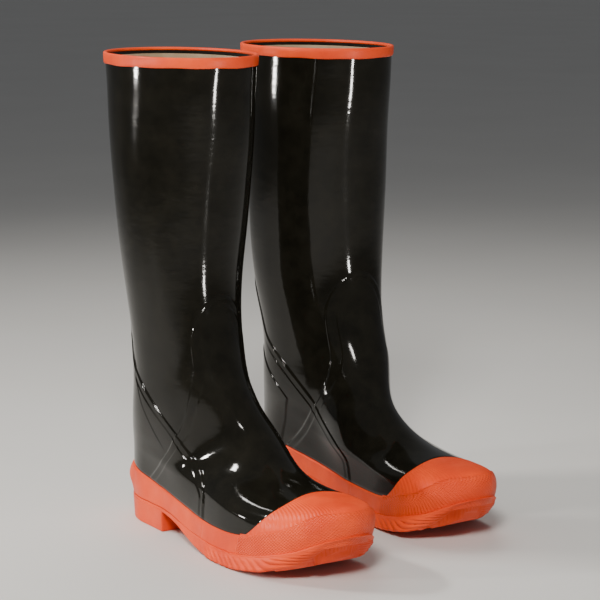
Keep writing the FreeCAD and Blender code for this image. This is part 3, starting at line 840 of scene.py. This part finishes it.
def red_rubber(name, knurl=False, roughness=(0.34, 0.5), pebble=0.35):
    """Red-orange gum rubber, finely pebbled, or knurled in crossing lines."""
    material, tree, shader = new_material(name, RED_LIGHT, 0.42)
    shader.inputs["Specular IOR Level"].default_value = GUM_SPECULAR
    place = object_place(tree)
    cloud = noise(tree, place, 24.0, 5.0, 0.6)
    colour = blended(tree, ranged(tree, cloud, 0.0, 1.0, 0.3, 0.7), RED_DEEP, RED_LIGHT)
    tree.links.new(colour, shader.inputs["Base Color"])
    worn = ranged(tree, noise(tree, place, 60.0, 3.0), *roughness, 0.3, 0.7)
    tree.links.new(worn, shader.inputs["Roughness"])
    grain = noise(tree, place, 650.0, 2.0)
    lumps = noise(tree, place, 95.0, 3.0)
    layers = [(lumps, 0.3, 0.0006), (grain, pebble, 0.00022)]
    if knurl:
        for turn in (0.9, -0.9):
            flat = add(tree, "TexCoord").outputs["UV"]
            turned = add(tree, "Mapping", {"Vector": flat, "Rotation": (0.0, 0.0, turn)}).outputs["Vector"]
            wave = add(tree, "TexWave", {"Vector": turned, "Scale": 150.0, "Distortion": 0.6, "Detail": 1.0,
                                         "Detail Scale": 2.0})
            layers.append((wave.outputs["Fac"], 0.7, 0.0005))
    bumps(tree, shader, layers)
    return material


def knit_lining():
    """Tan cotton knit."""
    material, tree, shader = new_material("tan_lining", (0.30, 0.21, 0.125), 0.9)
    shader.inputs["Sheen Weight"].default_value = 0.25
    flat = add(tree, "TexCoord").outputs["UV"]
    wales = add(tree, "TexWave", {"Vector": flat, "Scale": 190.0, "Distortion": 1.2, "Detail": 2.0,
                                  "Detail Scale": 3.0})
    courses = add(tree, "TexWave", {"Vector": flat, "Scale": 260.0, "Distortion": 1.5, "Detail": 2.0},
                  bands_direction="Y")
    place = object_place(tree)
    cloud = noise(tree, place, 35.0, 6.0, 0.65)
    tint = ranged(tree, cloud, 0.0, 1.0, 0.3, 0.7)
    colour = blended(tree, tint, (0.235, 0.16, 0.09), (0.36, 0.265, 0.165))
    tree.links.new(colour, shader.inputs["Base Color"])
    bumps(tree, shader, [(cloud, 0.3, 0.001), (wales.outputs["Fac"], 0.5, 0.0004),
                         (courses.outputs["Fac"], 0.4, 0.0003)])
    return material


def plain_stuff(name, first, second, roughness, scale, stretch=(1.0, 1.0, 1.0), metallic=0.0, depth=0.0004):
    """Noise-grained material for the pieces inside the boot."""
    material, tree, shader = new_material(name, first, roughness)
    shader.inputs["Metallic"].default_value = metallic
    place = object_place(tree, stretch)
    grain = noise(tree, place, scale, 6.0, 0.65)
    cloud = noise(tree, place, scale / 8.0, 3.0)
    colour = blended(tree, ranged(tree, cloud, 0.0, 1.0, 0.3, 0.7), first, second)
    tree.links.new(colour, shader.inputs["Base Color"])
    tree.links.new(ranged(tree, grain, roughness * 0.8, min(roughness * 1.15, 1.0), 0.3, 0.7),
                   shader.inputs["Roughness"])
    bumps(tree, shader, [(grain, 0.5, depth)])
    return material


FELT = ("grey_felt", (0.25, 0.245, 0.23), (0.40, 0.39, 0.36), 0.95, 520.0, (1.0, 1.0, 1.0), 0.0, 0.0008)
FOAM_STUFF = ("white_foam", (0.68, 0.66, 0.60), (0.84, 0.82, 0.76), 0.95, 380.0)
INNER_MATERIALS = {
    "heel_core": ("core_rubber", (0.02, 0.02, 0.02), (0.045, 0.042, 0.04), 0.7, 300.0),
    "midsole_filler": ("felt_filler", (0.22, 0.19, 0.15), (0.3, 0.27, 0.21), 0.95, 500.0),
    "shank": ("spring_steel", (0.42, 0.42, 0.43), (0.55, 0.55, 0.56), 0.32, 200.0, (1.0, 0.08, 1.0), 1.0,
              0.00005),
    "insole_board": ("fibre_board", (0.30, 0.20, 0.115), (0.40, 0.28, 0.17), 0.85, 420.0),
    "leg_insulation": FOAM_STUFF,
    "foot_insulation": FOAM_STUFF,
}


def dress_inner_nodes():
    """Procedural materials for the CAD nodes that stay."""
    made = {}
    for node, recipe in INNER_MATERIALS.items():
        if recipe[0] not in made:
            made[recipe[0]] = plain_stuff(*recipe)
        for side in ("right", "left"):
            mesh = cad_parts[side + "_" + node].data
            mesh.materials.clear()
            mesh.materials.append(made[recipe[0]])


# ------------------------------------------------------------------ stage, light and camera
FLOOR_REACH = 22.0             # metres
LAMP_COLOUR = (1.0, 0.97, 0.92)
CAMERA_AT = (-0.99249, -1.65583, 0.52875)   # metres, from the right boot's origin
CAMERA_TURN = math.radians(33.81)           # it looks towards +Y, turned this far towards +X
CAMERA_TILT = math.radians(-9.79)
CAMERA_LENS = 137.8


def floor():
    """Plain pale floor."""
    mesh = bpy.data.meshes.new("floor")
    corners = [(-FLOOR_REACH, -FLOOR_REACH, 0), (FLOOR_REACH, -FLOOR_REACH, 0),
               (FLOOR_REACH, FLOOR_REACH, 0), (-FLOOR_REACH, FLOOR_REACH, 0)]
    mesh.from_pydata(corners, [], [(0, 1, 2, 3)])
    material, tree, shader = new_material("pale_floor", (0.62, 0.61, 0.59), 0.75)
    place = object_place(tree)
    cloud = noise(tree, place, 3.0, 4.0)
    colour = blended(tree, cloud, (0.60, 0.59, 0.57), (0.66, 0.65, 0.63))
    tree.links.new(colour, shader.inputs["Base Color"])
    mesh.materials.append(material)
    plane = bpy.data.objects.new("floor", mesh)
    bpy.context.scene.collection.objects.link(plane)


def aim(thing, target):
    """Turn a lamp so that it shines at the target."""
    thing.rotation_euler = (Vector(target) - thing.location).to_track_quat("-Z", "Y").to_euler()


def softbox(name, place, target, width, height, watts, spread, shows=True):
    """Area light; one that doesn't show lights the rubber without being mirrored in it."""
    light = bpy.data.lights.new(name, "AREA")
    light.shape = "RECTANGLE"
    light.size = width
    light.size_y = height
    light.energy = watts
    light.color = LAMP_COLOUR
    light.spread = math.radians(spread)
    lamp = bpy.data.objects.new(name, light)
    lamp.location = place
    bpy.context.scene.collection.objects.link(lamp)
    aim(lamp, target)
    lamp.visible_camera = False
    lamp.visible_glossy = shows


def camera():
    data = bpy.data.cameras.new("camera")
    data.lens = CAMERA_LENS
    data.sensor_width = 36.0
    data.clip_end = 100.0
    eye = bpy.data.objects.new("camera", data)
    eye.location = [a + b for a, b in zip(boot_origin("right"), CAMERA_AT)]
    eye.rotation_euler = (math.pi / 2.0 + CAMERA_TILT, 0.0, -CAMERA_TURN)
    bpy.context.scene.collection.objects.link(eye)
    bpy.context.scene.camera = eye


def lights():
    world = bpy.data.worlds.new("studio")
    world.use_nodes = True
    background = world.node_tree.nodes["Background"]
    background.inputs["Color"].default_value = (0.85, 0.87, 0.9, 1.0)
    background.inputs["Strength"].default_value = 0.17
    bpy.context.scene.world = world
    softbox("key", (-1.3, -1.5, 1.7), (0.0, 0.0, 0.12), 0.6, 0.6, 9.0, 75.0, shows=False)
    softbox("top", (0.2, 0.9, 1.9), (0.0, 0.2, 0.0), 1.4, 1.2, 7.0, 100.0, shows=False)
    softbox("shin_glint", (-1.15, -1.35, 1.35), (0.0, 0.0, 0.15), 0.14, 0.34, 1.2, 60.0)
    softbox("behind_left", (-1.12, 0.98, 1.48), (-0.1, -0.05, 0.07), 0.3, 0.16, 7.0, 110.0)
    softbox("rib_light", (-1.76, 0.44, 0.48), (0.0, -0.1, 0.05), 0.16, 0.10, 1.4, 60.0)
    softbox("upper_left_glint", (-1.22, 0.92, 0.285), (-0.13, 0.04, 0.385), 0.08, 0.035, 0.3, 60.0)
    softbox("front_strip", (0.038, -1.29, 0.07), (0.0, 0.0, 0.38), 0.07, 0.12, 0.35, 50.0)


# ------------------------------------------------------------------ the scene
def build():
    camera()
    floor()
    lights()
    black = black_rubber()
    band = red_rubber("red_band_rubber", pebble=0.5)
    knurled = red_rubber("red_knurled_rubber", knurl=True)
    sole = red_rubber("red_sole_rubber", roughness=(0.38, 0.55), pebble=0.45)
    lining = knit_lining()
    felt = plain_stuff(*FELT)
    for side in ("right", "left"):
        black_upper(side, black)
        inner_lining(side, lining)
        foxing(side, band)
        toe_bumper(side, knurled)
        toe_cap(side, band)
        topline_binding(side, band)
        sole_plate(side, sole)
        heel_block(side, sole)
        loose_footbed(side, felt)
    dress_inner_nodes()


build()
